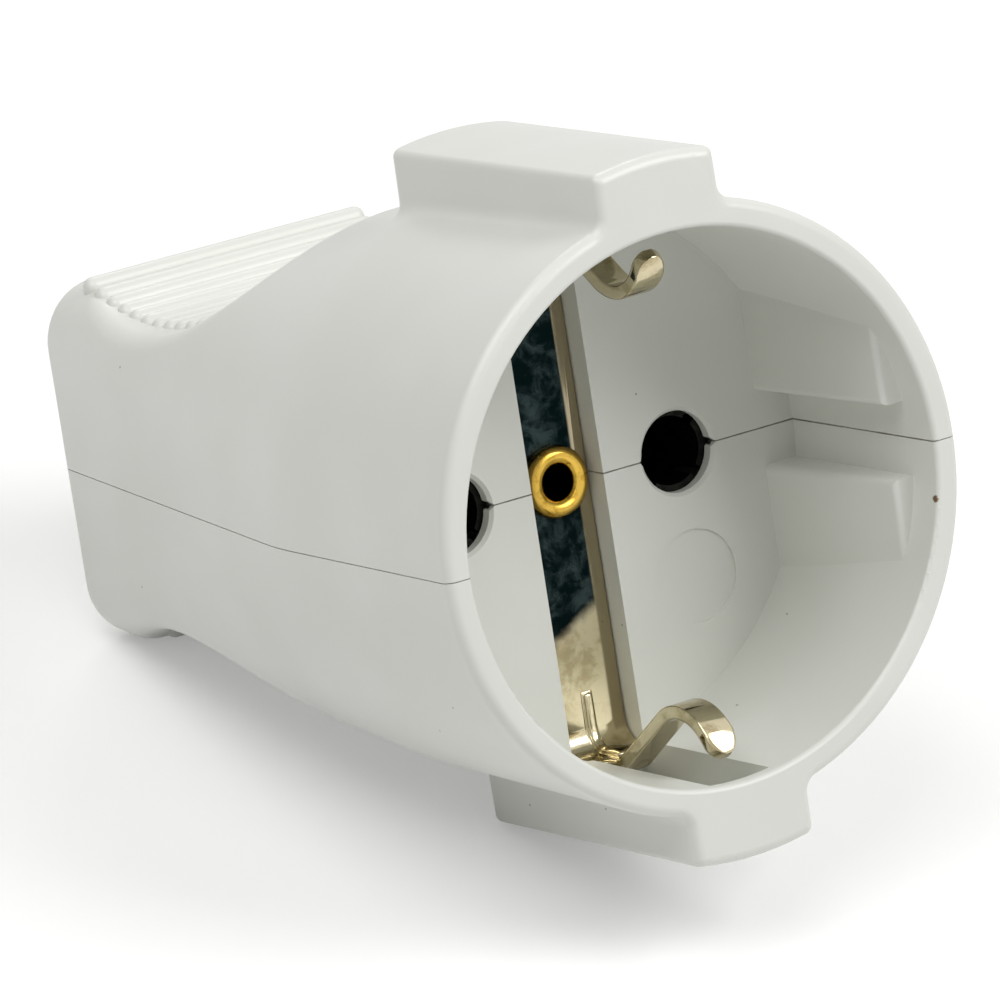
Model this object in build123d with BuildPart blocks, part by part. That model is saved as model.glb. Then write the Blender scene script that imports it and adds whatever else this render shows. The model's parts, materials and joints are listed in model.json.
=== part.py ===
from build123d import *
import os
from math import asin, atan2, cos, degrees, hypot, radians, sin

# Inline mains socket for a cable end, with an earth clip above and below the plug.
# It is drawn with the socket axis along Y: mouth at Y = 0, cable end at +Y, parting plane at Z = 0.
# The finished pieces are then laid down together, as the connector rests on a table.
# All sizes are in millimetres.

# Plug well and its floor
well_radius = 19.5
well_depth = 17.5
floor_thickness = 4.5
pin_spacing = 19.0
pin_hole_diameter = 5.9
pin_hole_chamfer = 0.25
pin_lip = 1.0
pin_notch = 0.5
ejector_mark_diameter = 6.8
ejector_mark_drop = 9.1
ejector_mark_depth = 0.18

# Moulded body
wall = 2.0
seam_gap = 0.07
round_length = 23.0
round_draft = 0.5
bend_radius = 25.0
body_length = 63.9
quarter_flat = 0.2
tail_width = 28.0
tail_height = 26.5
tail_corner = 4.2
tail_edge = 1.0
rear_wall = 2.5
cable_hole_diameter = 9.5
rim_edge = 0.8
rim_inner_edge = 0.4

# Thumb scoops with their grip ridges
scoop_radius = 24.0
upper_scoop_height = 11.4
lower_scoop_height = 10.9
scoop_setback = 14.3
scoop_edge = 2.0
ridge_count = 13
ridge_pitch = 1.55
ridge_radius = 0.8
ridge_height = 0.5
upper_ridge_inset = 1.8
lower_ridge_inset = 4.0
first_ridge_angle = 25.0

# Blocks over the earth clips
block_reach = 25.05
block_length = 26.5
block_top_width = 10.0
block_base_width = 10.9
block_base_fillet = 1.2
block_rear_corner = 1.0
block_edge = 0.6

# Guide ribs at the sides of the well
rib_floor_reach = 16.6
rib_mouth_reach = 17.6
rib_setback = 3.0
rib_notch = 5.4
rib_round = 0.5

# Earth strap and its clips
strap_width = 6.0
strap_thickness = 1.0
strap_depth = 19.3
strap_reach = 20.2
strap_bend = 2.3
strap_clearance = 0.06
arm_width = 2.4
arm_shoulder = 15.6
arm_root = 14.6
arm_root_bend = 1.6
apex_depth = 4.9
apex_reach = 13.4
apex_bend = 3.8
tip_depth = 2.2
tip_reach = 18.0
tip_chamfer = 0.55
bead_width = 0.7
bead_height = 0.3
bead_start = 15.5
pocket_width = 5.1
pocket_front = 1.0
pocket_reach = 22.5

# Eyelet
eyelet_diameter = 5.2
eyelet_hole = 2.5
eyelet_tube = 3.5
eyelet_height = 0.95
eyelet_rear_flange = 0.8
eyelet_clearance = 0.1

# Earth terminal behind the floor
terminal_width = 8.0
terminal_thickness = 1.0
terminal_top = 4.2
terminal_drop = 6.2
terminal_length = 11.0
terminal_collar = 2.2
terminal_bend = 1.2
terminal_screw_setback = 7.0

# Line contacts
sleeve_diameter = 6.4
sleeve_bore = 5.0
sleeve_slit = 0.8
sleeve_slit_length = 9.0
sleeve_slit_turn = 45.0
barrel_diameter = 7.2
barrel_length = 9.0
wire_hole = 3.2
wire_hole_depth = 7.0
contact_clearance = 0.1
spring_length = 4.0
spring_thickness = 0.5
spring_setback = 2.0
spring_slit = 1.2
saddle_depth = 35.0
saddle_thickness = 2.0
saddle_window_width = 8.0
saddle_window_height = 11.0

# Screws
thread_diameter = 3.0
thread_clearance = 0.15
screw_hole_clearance = 0.4
head_diameter = 5.4
head_height = 2.0
head_round = 0.5
slot_width = 0.9
slot_depth = 0.9
terminal_screw_diameter = 4.4
terminal_screw_rise = 1.6

# Screw that holds the halves together
shell_screw_depth = 41.0
shell_boss_diameter = 8.4
shell_seat_drop = 7.5
shell_recess_diameter = 6.0
shell_pilot_height = 9.0
pilot_spare = 1.0

# Cable clamp
clamp_depth = 53.0
clamp_post_inset = 2.9
clamp_post_diameter = 5.6
clamp_post_drop = 1.0
clamp_clearance = 0.5
clamp_width = 6.4
clamp_thickness = 2.4
clamp_edge = 0.6
clamp_screw_length = 9.0
cable_rib_thickness = 2.0
cable_rib_top = 4.0

# Worked out from the sizes above
body_radius = well_radius + wall
body_size = 2 * body_radius
body_corner = body_radius - quarter_flat / 2
waist_size = body_size - 2 * round_draft
waist_corner = body_corner - round_draft
cavity_start = well_depth + floor_thickness
scoop_depth = body_length - scoop_setback
scoop_axes = {1: upper_scoop_height + scoop_radius, -1: -lower_scoop_height - scoop_radius}
strap_middle = strap_depth + strap_thickness / 2
strap_back = strap_depth + strap_thickness
channel_width = strap_width + 2 * strap_clearance
channel_reach = strap_reach + strap_thickness / 2 + strap_clearance
rivet_hole = eyelet_tube + 2 * eyelet_clearance
sleeve_hole = sleeve_diameter + 2 * contact_clearance
sleeve_start = well_depth + pin_lip + contact_clearance
barrel_start = saddle_depth + saddle_thickness + contact_clearance
terminal_screw_depth = barrel_start + barrel_length / 2
spring_bore = sleeve_diameter + contact_clearance
block_rise = block_reach - body_radius
upper_ridge_length = tail_width - 2 * upper_ridge_inset
lower_ridge_length = tail_width - 2 * lower_ridge_inset
clamp_length = tail_width - 2 * wall - 2 * clamp_clearance
clamp_post_offset = clamp_length / 2 - clamp_post_inset

# How near a picked edge or face must lie to the place where it is looked for
near = 0.01


def across(depth):
    """Return the section plane at a depth behind the mouth; a negative extrude goes to the tail."""
    return Plane.XZ.offset(-depth)


def ridge_places(side):
    """Return where the grip ridges lie on the upper (+1) or lower (-1) scoop."""
    reach = scoop_radius + ridge_radius - ridge_height
    step = ridge_pitch / scoop_radius
    places = []
    for number in range(ridge_count):
        angle = radians(first_ridge_angle) - number * step
        height = scoop_axes[side] - side * reach * cos(angle)
        places.append(Location((0, scoop_depth + reach * sin(angle), height)))
    return places


def grip_ridge(length):
    """Return one grip ridge along X, a bar with ball ends."""
    with BuildPart() as ridge:
        Cylinder(ridge_radius, length - 2 * ridge_radius, rotation=(0, 90, 0))
        with GridLocations(length - 2 * ridge_radius, 0, 2, 1):
            Sphere(ridge_radius)
    return ridge.part


def slotted_screw(head, shank, length):
    """Return a slotted screw along Z, with the underside of its head at the origin and its shank below."""
    with BuildPart() as screw:
        with BuildSketch():
            Circle(head / 2)
        extrude(amount=head_height)
        fillet(screw.edges().group_by(Axis.Z)[-1], radius=head_round)
        with BuildSketch():
            Circle(shank / 2)
        extrude(amount=-length)
        with BuildSketch(Plane.XY.offset(head_height)):
            Rectangle(head, slot_width)
        extrude(amount=-slot_depth, mode=Mode.SUBTRACT)
    return screw.part


# Outside of the housing: round front, tapering tail, thumb scoops and blocks
with BuildPart() as outside:
    with BuildSketch(across(0)):
        RectangleRounded(body_size, body_size, body_corner)
    with BuildSketch(across(round_length)):
        RectangleRounded(waist_size, waist_size, waist_corner)
    loft(ruled=True)
    with BuildSketch(across(round_length)):
        RectangleRounded(waist_size, waist_size, waist_corner)
    with BuildSketch(across(body_length)):
        RectangleRounded(tail_width, tail_height, tail_corner)
    loft(ruled=True)
    bend = outside.edges().filter_by_position(Axis.Y, round_length - near, round_length + near)
    fillet(bend, radius=bend_radius)

    with BuildSketch(Plane.YZ):
        with Locations((scoop_depth, scoop_axes[1]), (scoop_depth, scoop_axes[-1])):
            Circle(scoop_radius)
    extrude(amount=body_size, both=True, mode=Mode.SUBTRACT)
    scoops = outside.faces().filter_by(lambda f: f.geom_type == GeomType.CYLINDER).filter_by(
        lambda f: abs(f.radius - scoop_radius) < near and abs(f.center().Y - scoop_depth) < scoop_radius / 2
    )
    fillet(scoops.edges(), radius=scoop_edge)
    tail_rim = outside.faces().sort_by(Axis.Y)[-1].edges()
    fillet(tail_rim, radius=tail_edge)

    for side in (1, -1):
        with BuildSketch(across(0)):
            with BuildLine():
                left = Line((-block_base_width / 2, 0), (-block_top_width / 2, side * block_reach))
                right = Line((block_base_width / 2, 0), (block_top_width / 2, side * block_reach))
                Line(left @ 0, right @ 0)
                Line(left @ 1, right @ 1)
            make_face()
            Circle(block_reach, mode=Mode.INTERSECT)
        extrude(amount=-block_length)
    rear_corners = outside.edges().filter_by_position(
        Axis.Y, block_length - near, block_length + near
    ).filter_by(lambda e: e.geom_type == GeomType.LINE and abs(e.center().Z) > body_radius)
    fillet(rear_corners, radius=block_rear_corner)
    block_feet = outside.edges().filter_by(
        lambda e: abs(abs(e.center().Z) - body_radius) < block_rise / 2
        and abs((e % 0.5).Z) < 0.5
        and abs(e.center().X) < block_base_width / 2 + near
        and e.center().Y < block_length + near
        and e.center().Y > near
    )
    fillet(block_feet, radius=block_base_fillet)
    block_tops = outside.faces().filter_by(GeomType.CYLINDER).filter_by(
        lambda f: abs(f.radius - block_reach) < near
    )
    fillet(block_tops.edges().filter_by(lambda e: e.center().Y > near), radius=block_edge)
    mouth_face = outside.faces().sort_by(Axis.Y)[0]
    fillet(mouth_face.outer_wire().edges(), radius=rim_edge)
    with Locations(*ridge_places(1)):
        add(grip_ridge(upper_ridge_length))
    with Locations(*ridge_places(-1)):
        add(grip_ridge(lower_ridge_length))

# Hollow behind the well floor, with the bosses, posts and saddle left standing in it
with BuildPart() as hollow:
    with BuildSketch(across(cavity_start)):
        RectangleRounded(waist_size - 2 * wall, waist_size - 2 * wall, waist_corner - wall)
    extrude(amount=-(round_length - cavity_start))
    with BuildSketch(across(round_length)):
        RectangleRounded(waist_size - 2 * wall, waist_size - 2 * wall, waist_corner - wall)
    with BuildSketch(across(body_length - rear_wall)):
        RectangleRounded(tail_width - 2 * wall, tail_height - 2 * wall, tail_corner - wall)
    loft(ruled=True)
    with BuildSketch(Plane.YZ):
        with Locations((scoop_depth, scoop_axes[1]), (scoop_depth, scoop_axes[-1])):
            Circle(scoop_radius + wall)
    extrude(amount=body_size, both=True, mode=Mode.SUBTRACT)
    with BuildSketch():
        with Locations((0, shell_screw_depth)):
            Circle(shell_boss_diameter / 2)
    extrude(amount=body_size, both=True, mode=Mode.SUBTRACT)
    with BuildSketch(across(saddle_depth)):
        Rectangle(body_size, body_size)
        Rectangle(saddle_window_width, saddle_window_height, mode=Mode.SUBTRACT)
        with GridLocations(pin_spacing, 0, 2, 1):
            Circle(sleeve_hole / 2, mode=Mode.SUBTRACT)
    extrude(amount=-saddle_thickness, mode=Mode.SUBTRACT)
    with BuildSketch(Plane.XY.offset(-clamp_post_drop)):
        with Locations((clamp_post_offset, clamp_depth), (-clamp_post_offset, clamp_depth)):
            Circle(clamp_post_diameter / 2)
    extrude(amount=-body_size, mode=Mode.SUBTRACT)
    with BuildSketch(Plane.XY.offset(-cable_rib_top)):
        with Locations((0, clamp_depth)):
            Rectangle(2 * clamp_post_offset, cable_rib_thickness)
    extrude(amount=-body_size, mode=Mode.SUBTRACT)

# Guide ribs on both sides of the well, each parted by a notch at the seam
with BuildPart() as guide_ribs:
    with BuildSketch():
        with BuildLine():
            Polyline(
                (rib_floor_reach, well_depth),
                (rib_mouth_reach, rib_setback),
                (body_radius, rib_setback),
                (body_radius, well_depth),
                close=True,
            )
        make_face()
    extrude(amount=body_radius, both=True)
    with BuildSketch():
        with Locations((well_radius, well_depth / 2)):
            Rectangle(2 * (well_radius - rib_floor_reach), 2 * well_depth)
    extrude(amount=rib_notch / 2, both=True, mode=Mode.SUBTRACT)
    rib_edges = guide_ribs.edges().filter_by(
        lambda e: e.center().X < rib_mouth_reach + near and e.center().Y < well_depth - near
    )
    fillet(rib_edges, radius=rib_round)
    with BuildSketch(across(0)):
        Circle(well_radius + wall / 2)
    extrude(amount=-well_depth, mode=Mode.INTERSECT)
    mirror(about=Plane.YZ)

# Whole housing, still in one piece
with BuildPart() as housing:
    add(outside.part)
    with BuildSketch(across(0)):
        Circle(well_radius)
    extrude(amount=-well_depth, mode=Mode.SUBTRACT)
    fillet(
        housing.edges().filter_by(GeomType.CIRCLE).filter_by(
            lambda e: abs(e.radius - well_radius) < near
        ).group_by(Axis.Y)[0],
        radius=rim_inner_edge,
    )
    add(guide_ribs.part)
    add(hollow.part, mode=Mode.SUBTRACT)

    with BuildSketch(across(well_depth)):
        with GridLocations(pin_spacing, 0, 2, 1):
            Circle(pin_hole_diameter / 2)
    extrude(amount=-pin_lip, mode=Mode.SUBTRACT)
    pin_hole_edges = housing.edges().filter_by(GeomType.CIRCLE).filter_by(
        lambda e: abs(e.radius - pin_hole_diameter / 2) < near
    ).group_by(Axis.Y)[0]
    chamfer(pin_hole_edges, length=pin_hole_chamfer)
    with BuildSketch(across(well_depth)):
        with GridLocations(pin_spacing, 0, 2, 1):
            with GridLocations(pin_hole_diameter, 0, 2, 1):
                Rectangle(pin_notch, pin_notch, rotation=45)
    extrude(amount=-pin_lip, mode=Mode.SUBTRACT)
    with BuildSketch(across(well_depth + pin_lip)):
        with GridLocations(pin_spacing, 0, 2, 1):
            Circle(sleeve_hole / 2)
    extrude(amount=-(floor_thickness - pin_lip), mode=Mode.SUBTRACT)
    with BuildSketch(across(well_depth)):
        with Locations((pin_spacing / 2, -ejector_mark_drop)):
            Circle(ejector_mark_diameter / 2)
    extrude(amount=-ejector_mark_depth, mode=Mode.SUBTRACT)

    with BuildSketch(across(strap_back)):
        Rectangle(channel_width, 2 * channel_reach)
    extrude(amount=strap_back - arm_shoulder, mode=Mode.SUBTRACT)
    with BuildSketch(across(pocket_front)):
        Rectangle(pocket_width, 2 * pocket_reach)
    extrude(amount=-(well_depth - pocket_front), mode=Mode.SUBTRACT)
    with BuildSketch(across(strap_back)):
        Circle(rivet_hole / 2)
    extrude(amount=-floor_thickness, mode=Mode.SUBTRACT)
    with BuildSketch(across(body_length)):
        Circle(cable_hole_diameter / 2)
    extrude(amount=2 * rear_wall, mode=Mode.SUBTRACT)

with BuildPart() as upper_shell:
    add(housing.part)
    split(bisect_by=Plane.XY.offset(seam_gap / 2), keep=Keep.TOP)
    with BuildSketch(Plane.XY):
        with Locations((0, shell_screw_depth)):
            Circle((thread_diameter + thread_clearance) / 2)
    extrude(amount=shell_pilot_height + pilot_spare, mode=Mode.SUBTRACT)

with BuildPart() as lower_shell:
    add(housing.part)
    split(bisect_by=Plane.XY.offset(-seam_gap / 2), keep=Keep.BOTTOM)
    with BuildSketch(Plane.XY):
        with Locations((0, shell_screw_depth)):
            Circle((thread_diameter + screw_hole_clearance) / 2)
    extrude(amount=-body_size, mode=Mode.SUBTRACT)
    with BuildSketch(Plane.XY.offset(-shell_seat_drop)):
        with Locations((0, shell_screw_depth)):
            Circle(shell_recess_diameter / 2)
    extrude(amount=-body_size, mode=Mode.SUBTRACT)
    with BuildSketch(Plane.XY.offset(-clamp_post_drop)):
        with Locations((clamp_post_offset, clamp_depth), (-clamp_post_offset, clamp_depth)):
            Circle((thread_diameter + thread_clearance) / 2)
    extrude(amount=-(clamp_screw_length - clamp_thickness + pilot_spare), mode=Mode.SUBTRACT)

# Earth strap: a web across the well floor, bent round at each end into a hooked spring clip
clip_end = [
    (tip_depth, tip_reach),
    (apex_depth, apex_reach),
    (arm_root, strap_reach),
    (strap_middle, strap_reach),
]
clip_bends = [apex_bend, arm_root_bend, strap_bend]
with BuildPart() as earth_strap:
    with BuildSketch(Plane.YZ):
        with BuildLine():
            FilletPolyline(
                *clip_end,
                *[(depth, -reach) for depth, reach in reversed(clip_end)],
                radius=clip_bends + clip_bends[::-1],
            )
        trace(line_width=strap_thickness)
    extrude(amount=strap_width / 2, both=True)
    with BuildSketch():
        with BuildLine():
            Polyline(
                (0, strap_back),
                (strap_width / 2, strap_back),
                (strap_width / 2, arm_shoulder + strap_clearance + strap_thickness),
                (arm_width / 2, arm_shoulder + strap_clearance),
                (arm_width / 2, tip_depth + tip_chamfer),
                (arm_width / 2 - tip_chamfer, tip_depth - strap_thickness),
                (0, tip_depth - strap_thickness),
                close=True,
            )
        make_face()
        mirror(about=Plane.YZ)
    extrude(amount=body_radius + wall, both=True, mode=Mode.INTERSECT)
    for side in (1, -1):
        inside = strap_reach - strap_thickness / 2
        with BuildSketch(Plane.YZ):
            with BuildLine():
                FilletPolyline(
                    (strap_depth, side * bead_start),
                    (strap_depth, side * inside),
                    (arm_shoulder + strap_clearance, side * inside),
                    radius=strap_bend - strap_thickness / 2,
                )
            trace(line_width=2 * bead_height)
        extrude(amount=bead_width / 2, both=True)
    with BuildSketch(across(strap_depth)):
        Circle(rivet_hole / 2)
    extrude(amount=-strap_thickness, mode=Mode.SUBTRACT)

# Brass eyelet through strap, floor and earth terminal
with BuildPart() as earth_rivet:
    rear_face = cavity_start + terminal_thickness
    with BuildSketch():
        with BuildLine():
            crest = (eyelet_hole + eyelet_diameter) / 4
            rolled = ThreePointArc(
                (eyelet_hole / 2, strap_depth),
                (crest, strap_depth - eyelet_height),
                (eyelet_diameter / 2, strap_depth),
            )
            Polyline(
                rolled @ 1,
                (eyelet_tube / 2, strap_depth),
                (eyelet_tube / 2, rear_face),
                (eyelet_diameter / 2, rear_face),
                (eyelet_diameter / 2, rear_face + eyelet_rear_flange / 2),
                (eyelet_hole / 2, rear_face + eyelet_rear_flange),
                rolled @ 0,
            )
        make_face()
    revolve(axis=Axis.Y)

# Earth terminal: a plate behind the floor with a tongue for the earth wire
with BuildPart() as earth_terminal:
    tongue = -terminal_drop - terminal_thickness / 2
    with BuildSketch(Plane.YZ):
        with BuildLine():
            plate_middle = cavity_start + terminal_thickness / 2
            FilletPolyline(
                (plate_middle, terminal_top),
                (plate_middle, tongue),
                (cavity_start + terminal_length, tongue),
                radius=terminal_bend,
            )
        trace(line_width=terminal_thickness)
    extrude(amount=terminal_width / 2, both=True)
    with BuildSketch(Plane.XY.offset(-terminal_drop - terminal_thickness)):
        with Locations((0, cavity_start + terminal_screw_setback)):
            Circle(thread_diameter / 2 + terminal_thickness)
    extrude(amount=-terminal_collar)
    with BuildSketch(Plane.XY.offset(-terminal_drop)):
        with Locations((0, cavity_start + terminal_screw_setback)):
            Circle((thread_diameter + thread_clearance) / 2)
    extrude(amount=-terminal_drop, mode=Mode.SUBTRACT)
    with BuildSketch(across(cavity_start)):
        Circle(rivet_hole / 2)
    extrude(amount=-terminal_thickness, mode=Mode.SUBTRACT)

# Right line contact: a slit sleeve for the pin, with a barrel for the wire
with BuildPart() as right_contact:
    with BuildSketch(across(sleeve_start)):
        with Locations((pin_spacing / 2, 0)):
            Circle(sleeve_diameter / 2)
    extrude(amount=-(barrel_start - sleeve_start))
    with BuildSketch(across(barrel_start)):
        with Locations((pin_spacing / 2, 0)):
            Circle(barrel_diameter / 2)
    extrude(amount=-barrel_length)
    with BuildSketch(across(sleeve_start)):
        with Locations((pin_spacing / 2, 0)):
            Circle(sleeve_bore / 2)
    extrude(amount=-(barrel_start - sleeve_start), mode=Mode.SUBTRACT)
    with BuildSketch(across(sleeve_start)):
        with Locations((pin_spacing / 2, 0)):
            Rectangle(2 * sleeve_diameter, sleeve_slit, rotation=sleeve_slit_turn)
            Rectangle(sleeve_slit, 2 * sleeve_diameter, rotation=sleeve_slit_turn)
    extrude(amount=-sleeve_slit_length, mode=Mode.SUBTRACT)
    with BuildSketch(across(barrel_start + barrel_length)):
        with Locations((pin_spacing / 2, 0)):
            Circle(wire_hole / 2)
    extrude(amount=wire_hole_depth, mode=Mode.SUBTRACT)
    with BuildSketch():
        with Locations((pin_spacing / 2, terminal_screw_depth)):
            Circle((thread_diameter + thread_clearance) / 2)
    extrude(amount=barrel_diameter, mode=Mode.SUBTRACT)
with BuildPart() as left_contact:
    add(mirror(right_contact.part, about=Plane.YZ))

# Steel ring that closes the slit sleeve on the pin
with BuildPart() as right_contact_spring:
    with BuildSketch(across(cavity_start + spring_setback)):
        with Locations((pin_spacing / 2, 0)):
            Circle(spring_bore / 2 + spring_thickness)
            Circle(spring_bore / 2, mode=Mode.SUBTRACT)
        with Locations(((pin_spacing + spring_bore) / 2, 0)):
            Rectangle(spring_bore, spring_slit, mode=Mode.SUBTRACT)
    extrude(amount=-spring_length)
with BuildPart() as left_contact_spring:
    add(mirror(right_contact_spring.part, about=Plane.YZ))

# Wire screws of the three terminals
wire_screw_length = (barrel_diameter + terminal_screw_rise) / 2
wire_screw = slotted_screw(terminal_screw_diameter, thread_diameter, wire_screw_length)
with BuildPart() as right_terminal_screw:
    with Locations((pin_spacing / 2, terminal_screw_depth, barrel_diameter / 2 + terminal_screw_rise)):
        add(wire_screw)
with BuildPart() as left_terminal_screw:
    add(mirror(right_terminal_screw.part, about=Plane.YZ))
earth_screw_length = terminal_thickness + terminal_collar + terminal_screw_rise
earth_screw = slotted_screw(head_diameter, thread_diameter, earth_screw_length)
with BuildPart() as earth_terminal_screw:
    with Locations((0, cavity_start + terminal_screw_setback, terminal_screw_rise / 2 - terminal_drop)):
        add(earth_screw)

# Cable clamp: a bar across the cable on the two posts, with its screws
with BuildPart() as cable_clamp:
    with BuildSketch(Plane.XY.offset(-clamp_post_drop)):
        with Locations((0, clamp_depth)):
            SlotOverall(clamp_length, clamp_width)
        with Locations((clamp_post_offset, clamp_depth), (-clamp_post_offset, clamp_depth)):
            Circle((thread_diameter + screw_hole_clearance) / 2, mode=Mode.SUBTRACT)
    extrude(amount=clamp_thickness)
    fillet(cable_clamp.faces().sort_by(Axis.Z)[0].outer_wire().edges(), radius=clamp_edge)
clamp_screw = slotted_screw(head_diameter, thread_diameter, clamp_screw_length)
with BuildPart() as clamp_screws:
    with Locations(
        (clamp_post_offset, clamp_depth, clamp_thickness - clamp_post_drop),
        (-clamp_post_offset, clamp_depth, clamp_thickness - clamp_post_drop),
    ):
        add(clamp_screw)

# Screw that closes the halves, put in from below
closing_screw = slotted_screw(head_diameter, thread_diameter, shell_seat_drop + shell_pilot_height)
with BuildPart() as shell_screw:
    with Locations(Location((0, shell_screw_depth, -shell_seat_drop), (0, 180, 0))):
        add(closing_screw)

pieces = {
    "upper_shell": upper_shell,
    "lower_shell": lower_shell,
    "earth_strap": earth_strap,
    "earth_rivet": earth_rivet,
    "earth_terminal": earth_terminal,
    "earth_terminal_screw": earth_terminal_screw,
    "left_contact": left_contact,
    "right_contact": right_contact,
    "left_contact_spring": left_contact_spring,
    "right_contact_spring": right_contact_spring,
    "left_terminal_screw": left_terminal_screw,
    "right_terminal_screw": right_terminal_screw,
    "cable_clamp": cable_clamp,
    "clamp_screws": clamp_screws,
    "shell_screw": shell_screw,
}

# The connector lies on the rear edge of its lower block and the rear edge of its tail.
# Both edges are rounded, so the table touches two circles of different radius.
tail_slope = (waist_size - tail_height) / 2 / (body_length - round_length)
heel = (block_length - block_edge, block_edge - block_reach)
lip_height = tail_height / 2 + tail_edge * (tail_slope - hypot(1, tail_slope))
lip = (body_length - tail_edge, -lip_height)
span = hypot(lip[0] - heel[0], lip[1] - heel[1])
rest_pitch = atan2(lip[1] - heel[1], lip[0] - heel[0]) - asin((tail_edge - block_edge) / span)
pitched = Location((0, 0, 0), (-degrees(rest_pitch), 0, 0))
shell_box = Compound([piece.part.moved(pitched) for piece in pieces.values()]).bounding_box()
rest = Location((0, -shell_box.center().Y, -shell_box.min.Z)) * pitched

os.makedirs("parts", exist_ok=True)
for name, piece in pieces.items():
    laid = piece.part.moved(rest)
    laid.label = name
    export_step(laid, f"parts/{name}.step")
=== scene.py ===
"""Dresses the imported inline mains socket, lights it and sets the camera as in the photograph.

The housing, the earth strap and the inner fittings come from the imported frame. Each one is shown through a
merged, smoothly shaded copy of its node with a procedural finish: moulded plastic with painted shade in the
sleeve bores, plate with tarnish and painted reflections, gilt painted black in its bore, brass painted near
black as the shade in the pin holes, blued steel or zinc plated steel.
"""

import json
import logging
import math
from dataclasses import dataclass
from enum import Enum
from typing import Any

import bmesh
import bpy
from mathutils import Matrix, Quaternion, Vector

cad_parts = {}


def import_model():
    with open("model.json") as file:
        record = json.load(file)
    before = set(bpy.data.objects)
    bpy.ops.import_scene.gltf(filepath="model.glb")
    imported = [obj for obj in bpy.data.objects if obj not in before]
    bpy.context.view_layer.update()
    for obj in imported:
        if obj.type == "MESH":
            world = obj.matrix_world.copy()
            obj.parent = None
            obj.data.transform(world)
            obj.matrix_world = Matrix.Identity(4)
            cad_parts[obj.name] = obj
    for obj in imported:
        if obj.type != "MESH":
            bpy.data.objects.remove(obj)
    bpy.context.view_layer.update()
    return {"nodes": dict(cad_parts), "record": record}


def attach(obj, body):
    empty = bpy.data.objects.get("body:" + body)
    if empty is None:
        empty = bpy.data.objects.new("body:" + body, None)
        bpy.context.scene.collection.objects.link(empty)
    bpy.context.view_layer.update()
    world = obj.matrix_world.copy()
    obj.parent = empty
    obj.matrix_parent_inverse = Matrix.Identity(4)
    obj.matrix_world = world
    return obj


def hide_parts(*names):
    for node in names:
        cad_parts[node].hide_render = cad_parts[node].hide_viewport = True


LOG = logging.getLogger("connector")

Colour = tuple[float, float, float]
Point = tuple[float, float, float]
NodeSocket = bpy.types.NodeSocket

ROOT_BODY = "root"
MILLIMETRE = 0.001
PIN_MOUNT = "right_pin_socket"
# Metres from the mouth to the place of the pin mounts.
PIN_MOUNT_DEPTH = 0.02785


class Slot(Enum):
    """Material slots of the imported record."""

    PLASTIC = "white_plastic"
    STRAP = "plated_strap"
    BRASS = "brass"
    STEEL = "steel"


class Ray(Enum):
    """Kinds of ray that see the plain white background."""

    CAMERA = "Is Camera Ray"
    GLOSSY = "Is Glossy Ray"
    TRANSMISSION = "Is Transmission Ray"


def add_object(name: str, data: bpy.types.ID) -> bpy.types.Object:
    """Add an object to the scene.

    Args:
        name: Name of the object.
        data: Mesh, lamp or camera that it shows.

    Returns:
        The new object.
    """
    made = bpy.data.objects.new(name, data)
    bpy.context.scene.collection.objects.link(made)
    return made


@dataclass(frozen=True)
class SocketAxes:
    """Place and pitch of the socket in the row frame.

    In socket coordinates Y runs from the mouth to the cable end, X to the right and Z up from the parting
    plane.
    """

    mouth: Vector
    pitch: float

    @classmethod
    def from_record(cls, record: dict[str, Any], mount_depth: float) -> "SocketAxes":
        """Read the socket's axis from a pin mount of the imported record.

        Args:
            record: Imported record, as the frame gives it.
            mount_depth: Distance from the mouth to the place of the pin mount, in metres.

        Returns:
            The socket's axes in the row frame.
        """
        mount = next(m for m in record["mounts"] if m["name"] == PIN_MOUNT)
        outwards = Vector(mount["axis"]).normalized()
        mouth = Vector(mount["pos_m"]) + mount_depth * outwards
        # The pin lies beside the middle plane, the mouth's centre in it.
        mouth.x = 0.0
        return cls(mouth=mouth, pitch=math.atan2(outwards.z, -outwards.y))

    def turn(self) -> Matrix:
        """Return the rotation from the row frame to socket coordinates."""
        return Matrix.Rotation(self.pitch, 3, "X")

    def shift(self) -> Vector:
        """Return the place of the row's origin in socket coordinates."""
        return -(self.turn() @ self.mouth)

    def to_socket(self) -> Matrix:
        """Return the transform from metres in the row frame to millimetres in socket coordinates."""
        scale = Matrix.Scale(1.0 / MILLIMETRE, 4)
        return scale @ Matrix.Translation(self.shift()) @ self.turn().to_4x4()


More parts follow.
